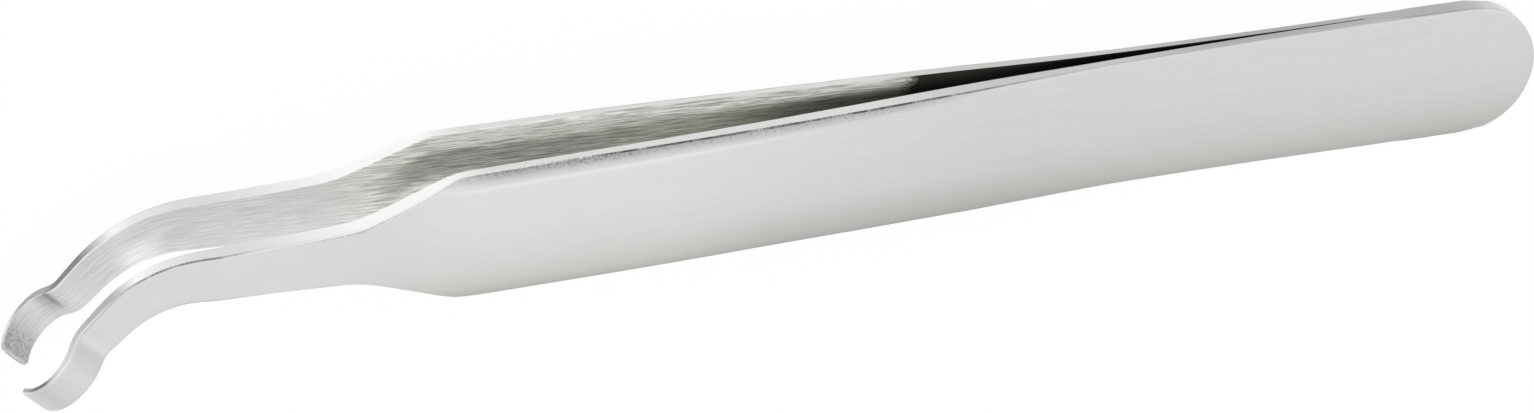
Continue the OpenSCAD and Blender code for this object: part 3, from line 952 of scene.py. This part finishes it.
def edge_tone(r, finish, shape, along):
    """Colour of the edges: grey at the weld and where the leaf flexes, a painted highlight along the flank
    and in the bend, painted shade past the bend and on the claw, and one duller tone of painted shade on the
    back side."""
    at = Marks(shape)
    bright, even, grey, weld = finish.edge, finish.edge_plain, finish.edge_grey, finish.weld
    light, soft = half_way(bright, even), half_way(even, grey)
    stops = [
        (-2.5, light), (-1, even), (0.5, weld), (at.weld, weld), (at.weld + 3.2, grey), (at.weld + 11, grey),
        (at.spring_end - 1, soft), (at.grip - 1, soft), (at.grip + 8, even), (at.shoulder - 2.5, even),
        (at.shoulder + 0.8, bright), (at.shoulder + 6.5, bright), (at.shoulder + 11, light),
        (at.shoulder + 15, even), (at.bend, even), (at.bend + 3, light), (at.bend + 4.2, bright)
    ]
    if shape.lower:
        bent = finish.lower_bent_shade
        stops += [
            (at.bend + 5.5, soft), (at.bend + 6.8, bent), (at.crease + 0.5, bent), (at.crease + 2, grey),
            (at.crease + 4, grey), (at.crease + 5.5, light), (at.crease + 7, soft)
        ]
    else:
        bent, dark = finish.upper_bent_shade, half_way(finish.lower_bent_shade, finish.filed)
        stops += [
            (at.bend + 6, bent), (at.crease - 0.5, bent), (at.crease + 1.2, soft), (at.crease + 3.4, even),
            (at.crease + 4.2, soft), (at.crease + 4.8, dark), (at.crease + 5.6, dark), (at.crease + 6.6, grey)
        ]
    # The back side takes one duller tone of painted shade
    return r.mix(r.back_side(), r.ramp(along, stops), finish.back_edge_shade)


def edge_finish(finish, shape):
    """The ground edges, with their own fine grain."""
    material, r = new_recipe("ground_edge")
    along, height = r.strip()
    grain = r.noise(along, height, long=3, wide=0.06, detail=3, rough=0.6)
    base = r.scaled(edge_tone(r, finish, shape, along), 0.94 + grain * 0.12)
    r.steel(base, 0.3 + grain * 0.15, grain, depth=0.001)
    return material


def break_finish(finish, shape):
    """The outer edges: short dark marks of the file along the grip, painted shade broken up the same way
    round the bend, bright teeth before the shoulder, and brighter along the claw."""
    material, r = new_recipe("filed_break")
    along, height = r.strip()
    at = Marks(shape)
    past_shoulder, past_bend, past_crease = along - at.shoulder, along - at.bend, along - at.crease
    strokes = r.noise(along, height, long=0.14, wide=0.5, detail=3, rough=0.7)
    patches = r.noise(along, height, long=1.4, wide=0.4, detail=2, rough=0.5)
    # Painted shade on the break round the bend, broken up like the file marks
    edge_shade = (past_bend.between(5.5, 3.5) * 0.45 + 0.3) * past_bend.within(-4, 0, 6, 8)
    filed = along.within(at.roll - 5, at.roll + 10, at.shoulder - 12, at.shoulder - 4) + edge_shade
    dark = filed * (strokes * 0.5 + patches * 0.5).between(0.8, 0.4)
    worn_from = 2.5 if shape.lower else -4
    worn = past_crease.between(worn_from, worn_from + 1.5) * 0.6
    teeth = past_shoulder.within(-12, -9, -1.9, 0.1) * strokes.between(0.5, 0.56)
    lighter = 1 + along.within(-2, 0, at.spring_end - 9, at.spring_end - 3) * 0.2
    edge = r.scaled(edge_tone(r, finish, shape, along), lighter)
    base = r.mix(dark, r.mix(worn.most(teeth), edge, finish.edge), finish.filed)
    r.steel(base, 0.4, strokes, depth=0.004)
    return material


def weld_finish(finish, shape):
    """The weld ground flush: grey, paler round the end of the tail, with tiny pits near its front end."""
    material, r = new_recipe("ground_weld")
    along, height = r.strip()
    at = Marks(shape)
    grain = r.noise(along, height, long=2.5, wide=0.08, detail=3, rough=0.6)
    pits = r.noise(along, height, long=0.35, wide=0.3, detail=1, rough=0.5).between(0.72, 0.78)
    pits *= along.between(at.weld - 3.8, at.weld - 1.8)
    paler = along.between(2.5, 0.3) * 0.2 + along.between(0.2, -1.2) * 0.5 + along.between(-1.2, -2.5) * 0.3
    metal = r.mix(paler, finish.weld, finish.edge_plain)
    base = r.scaled(r.mix(pits, metal, finish.pits), 0.92 + grain * 0.16)
    r.steel(base, 0.38 + grain * 0.12, grain - pits * 2, depth=0.002)
    return material


def make_leaf(name, lower, settings):
    """One leaf, in place of the imported tail, grip, neck and jaw of its side."""
    shape = Leaf(settings, lower)
    finishes = (outer_finish, inner_finish, edge_finish, break_finish)
    materials = [make(settings.finish, shape) for make in finishes]
    leaf = leaf_mesh(shape).finished(name, lower, materials)
    side = "lower" if lower else "upper"
    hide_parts(*(f"{side}_{part}" for part in ("tail", "grip", "neck", "jaw")))
    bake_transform(leaf)


class TWEEZERS_OT_upper_leaf(bpy.types.Operator):
    """Build the upper leaf, from its rounded tail to its claw"""

    bl_idname = "tweezers.upper_leaf"
    bl_label = "Upper leaf"

    def execute(self, context):
        make_leaf("upper_leaf", False, context.scene.tweezers)
        return {"FINISHED"}


class TWEEZERS_OT_lower_leaf(bpy.types.Operator):
    """Build the lower leaf, which faces the upper one"""

    bl_idname = "tweezers.lower_leaf"
    bl_label = "Lower leaf"

    def execute(self, context):
        make_leaf("lower_leaf", True, context.scene.tweezers)
        return {"FINISHED"}


class TWEEZERS_OT_tail_weld(bpy.types.Operator):
    """Build the weld that closes the seam round the tail"""

    bl_idname = "tweezers.tail_weld"
    bl_label = "Tail weld"

    # Cross-sections along each side of the tail
    ROWS = 36

    # The bead's surface from below to above, as shares of how far it stands out and of its half height
    SURFACE = ((0, -1), (0.7, -0.8), (1, 0), (0.7, 0.8), (0, 1))

    # Half height of the bead's root in the seam, as a share of that at its surface
    ROOT = 0.3

    def execute(self, context):
        settings = context.scene.tweezers
        weld, shape = settings.weld, Leaf(settings)
        full_height = settings.blade.tail_thickness - weld.margin
        mesh = PieceMesh()
        rings = []
        for place, outwards, along in self.seam(shape):
            rise = smooth(place[0], shape.weld_x, shape.weld_x - weld.front_rise)
            height = full_height * rise + weld.front_height
            section = [(weld.proud * out, height * up) for out, up in self.SURFACE]
            section = [(-weld.depth, -self.ROOT * height), *section, (-weld.depth, self.ROOT * height)]
            ring = []
            for out, up in section:
                point = place + outwards * out + np.array((0, 0, MID_Z + up))
                ring.append(mesh.point(point, (along, up), (along, up)))
            rings.append(ring)
        mesh.skin(rings, [0] * len(rings[0]))
        mesh.face(rings[0], 0)
        mesh.face(rings[-1], 0)
        bead = mesh.finished("weld_bead", False, [weld_finish(settings.finish, shape)])
        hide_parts("tail_weld")
        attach(bead, "tail")
        return {"FINISHED"}

    def seam(self, shape):
        """The edge of the joint from the weld's front end round the tail and back along the other side:
        places, directions outwards, and distances along the edge."""
        front, back = [], []
        for x in np.linspace(shape.weld_x, shape.round_x, self.ROWS)[:-1]:
            half_width = shape.blade_half_width(x)
            front.append((np.array((x, -half_width, 0)), np.array((0, -1, 0)), x))
            back.append((np.array((x, half_width + shape.back_flare(x), 0)), np.array((0, 1, 0)), x))
        return front + shape.tail_round() + back[::-1]


class TWEEZERS_OT_stage(bpy.types.Operator):
    """Set the pale floor, the soft light and the camera"""

    bl_idname = "tweezers.stage"
    bl_label = "Stage"

    # How far before the lower jaw the sloping floor reaches the claw's level
    JAW_LEAD = 3 * MM

    # Share of the blue that is left in the light from the side
    SIDE_BLUE = 0.98

    def execute(self, context):
        stage = context.scene.tweezers.stage
        self.floor(stage)
        self.light(stage)
        self.camera(context, stage)
        context.scene.view_settings.view_transform = "Standard"
        return {"FINISHED"}

    def floor(self, stage):
        """A wide floor that slopes from the tail down to the lower claw and is clear from beneath."""
        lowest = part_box("lower_jaw")[0]
        bpy.ops.mesh.primitive_grid_add(x_subdivisions=8, y_subdivisions=8, size=stage.floor_size)
        floor = bpy.context.active_object
        floor.name = "floor"
        floor.rotation_euler = (0, math.atan2(-lowest.z, lowest.x - self.JAW_LEAD - TAIL_LOW.x), 0)
        floor.location = (TAIL_LOW.x, 0, -stage.floor_gap)
        material, r = new_recipe("pale_floor")
        camera_ray = r.add("ShaderNodeLightPath")
        glossy_ray = camera_ray.other("Is Glossy Ray")
        seen = camera_ray.most(glossy_ray).most(camera_ray.other("Is Transmission Ray"))
        lit = r.add("ShaderNodeBsdfDiffuse", sockets={"Color": (*stage.floor, 1.0)})
        glow = r.add("ShaderNodeEmission", sockets={"Color": (1, 1, 1, 1), "Strength": 1.0})
        above = r.add("ShaderNodeMixShader", sockets={0: seen * stage.floor_glow, 1: lit, 2: glow})
        below = r.add("ShaderNodeNewGeometry", output="Backfacing")
        clear = r.add("ShaderNodeBsdfTransparent")
        surface = r.add("ShaderNodeMixShader", sockets={0: below, 1: above, 2: clear})
        r.add("ShaderNodeOutputMaterial", sockets={"Surface": surface})
        floor.data.materials.append(material)

    def light(self, stage):
        """A pale sky, brightest overhead and darker low down behind the camera, and one soft lamp."""
        world = bpy.data.worlds.new("studio")
        bpy.context.scene.world = world
        r = Recipe(world)
        direction = r.add("ShaderNodeTexCoord")
        parts = r.add("ShaderNodeSeparateXYZ", sockets={0: direction})
        towards, height = parts.other(1), parts.other(2)
        side = (stage.horizon, stage.horizon, stage.horizon * self.SIDE_BLUE)
        sky = r.mix(height.between(0.0, 0.85), side, (stage.zenith,) * 3)
        behind = (0 - towards - height * 0.6).between(0.2, 0.85)
        sky = r.scaled(sky, 1 - behind * stage.camera_side)
        background = r.add("ShaderNodeBackground", sockets={"Color": sky, "Strength": 1.0})
        r.add("ShaderNodeOutputWorld", sockets={"Surface": background})
        lamp = bpy.data.lights.new("overhead", "AREA")
        lamp.shape = "SQUARE"
        lamp.size = stage.lamp_size
        lamp.energy = stage.lamp_power
        holder = bpy.data.objects.new("overhead", lamp)
        holder.location = stage.lamp_place
        bpy.context.scene.collection.objects.link(holder)

    def camera(self, context, stage):
        """The camera at its distance from the point that it looks at, rolled about its own axis."""
        back = Vector((
            math.cos(stage.elevation) * math.cos(stage.azimuth),
            math.cos(stage.elevation) * math.sin(stage.azimuth),
            math.sin(stage.elevation),
        ))
        upright = (Vector((0, 0, 1)) - back * back.z).normalized()
        level = upright.cross(back)
        up = upright * math.cos(stage.roll) + level * math.sin(stage.roll)
        right = up.cross(back)
        data = bpy.data.cameras.new("camera")
        data.lens = stage.lens
        data.sensor_fit = "HORIZONTAL"
        data.clip_start = 10 * MM
        camera = bpy.data.objects.new("camera", data)
        context.scene.collection.objects.link(camera)
        place = Vector(stage.aim) + back * stage.distance
        camera.matrix_world = Matrix.Translation(place) @ Matrix((right, up, back)).transposed().to_4x4()
        context.scene.camera = camera


class TWEEZERS_PT_build(bpy.types.Panel):
    """Lists the steps and the sizes"""

    bl_label = "Tweezers"
    bl_idname = "TWEEZERS_PT_build"
    bl_space_type = "VIEW_3D"
    bl_region_type = "UI"
    bl_category = "Tweezers"

    def draw(self, context):
        for step in STEPS:
            self.layout.operator(step.bl_idname)
        settings = context.scene.tweezers
        for part in settings.__annotations__:
            group = getattr(settings, part)
            box = self.layout.box()
            for name in group.__annotations__:
                box.prop(group, name)


GROUPS = (
    TweezersBlade, TweezersWeld, TweezersEdges, TweezersNeck, TweezersJaw, TweezersFinish, TweezersStage,
    TweezersSettings
)
STEPS = (TWEEZERS_OT_stage, TWEEZERS_OT_upper_leaf, TWEEZERS_OT_lower_leaf, TWEEZERS_OT_tail_weld)


def register():
    for item in (*GROUPS, *STEPS, TWEEZERS_PT_build):
        bpy.utils.register_class(item)
    bpy.types.Scene.tweezers = PointerProperty(type=TweezersSettings)


def unregister():
    del bpy.types.Scene.tweezers
    for item in reversed((*GROUPS, *STEPS, TWEEZERS_PT_build)):
        bpy.utils.unregister_class(item)


def main():
    register()
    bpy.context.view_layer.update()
    bpy.ops.tweezers.stage()
    bpy.ops.tweezers.upper_leaf()
    bpy.ops.tweezers.lower_leaf()
    bpy.ops.tweezers.tail_weld()


if __name__ == "__main__":
    main()
